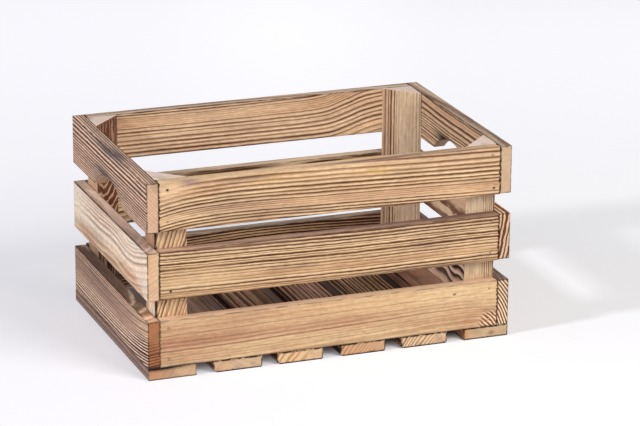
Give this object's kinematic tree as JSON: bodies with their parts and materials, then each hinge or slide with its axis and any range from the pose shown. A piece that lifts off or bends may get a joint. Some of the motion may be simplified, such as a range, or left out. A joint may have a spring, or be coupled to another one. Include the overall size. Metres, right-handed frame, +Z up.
{
  "type": "kindling box",
  "caption": "Open slatted wooden crate for kindling, with triangular corner posts, a slatted floor and an arched hand-hold in each end.",
  "frame": {"origin": "centre of the footprint, on the surface that the crate stands on", "axes": "+X along the crate's length, +Y from the front to the back, +Z up"},
  "size_m": [0.38, 0.248, 0.2],
  "materials": {
    "slat_wood": "flame-scorched pine, matt, brown late-wood lines",
    "post_wood": "flame-scorched pine, matt, upright grain",
    "board_wood": "flame-scorched pine, matt, darker",
    "brad_steel": "dull dark steel, scorched"
  },
  "bodies": {
    "root": {"front_slat_bottom": "slat_wood", "front_slat_middle": "slat_wood", "front_slat_top": "slat_wood", "back_slat_bottom": "slat_wood", "back_slat_middle": "slat_wood", "back_slat_top": "slat_wood", "left_slat_bottom": "slat_wood", "left_slat_middle": "slat_wood", "left_slat_top": "slat_wood", "right_slat_bottom": "slat_wood", "right_slat_middle": "slat_wood", "right_slat_top": "slat_wood", "post_front_left": "post_wood", "post_front_right": "post_wood", "post_back_left": "post_wood", "post_back_right": "post_wood", "bottom_board_1": "board_wood", "bottom_board_2": "board_wood", "bottom_board_3": "board_wood", "bottom_board_4": "board_wood", "bottom_board_5": "board_wood", "bottom_board_6": "board_wood", "brad_front_bottom_left": "brad_steel", "brad_left_bottom_front": "brad_steel", "brad_front_middle_left": "brad_steel", "brad_left_middle_front": "brad_steel", "brad_front_top_left": "brad_steel", "brad_left_top_front": "brad_steel", "brad_front_bottom_right": "brad_steel", "brad_right_bottom_front": "brad_steel", "brad_front_middle_right": "brad_steel", "brad_right_middle_front": "brad_steel", "brad_front_top_right": "brad_steel", "brad_right_top_front": "brad_steel", "brad_board_1_front": "brad_steel", "brad_board_2_front": "brad_steel", "brad_board_3_front": "brad_steel", "brad_board_4_front": "brad_steel", "brad_board_5_front": "brad_steel", "brad_board_6_front": "brad_steel", "brad_back_bottom_left": "brad_steel", "brad_left_bottom_back": "brad_steel", "brad_back_middle_left": "brad_steel", "brad_left_middle_back": "brad_steel", "brad_back_top_left": "brad_steel", "brad_left_top_back": "brad_steel", "brad_back_bottom_right": "brad_steel", "brad_right_bottom_back": "brad_steel", "brad_back_middle_right": "brad_steel", "brad_right_middle_back": "brad_steel", "brad_back_top_right": "brad_steel", "brad_right_top_back": "brad_steel", "brad_board_1_back": "brad_steel", "brad_board_2_back": "brad_steel", "brad_board_3_back": "brad_steel", "brad_board_4_back": "brad_steel", "brad_board_5_back": "brad_steel", "brad_board_6_back": "brad_steel"}
  },
  "joints": []
}
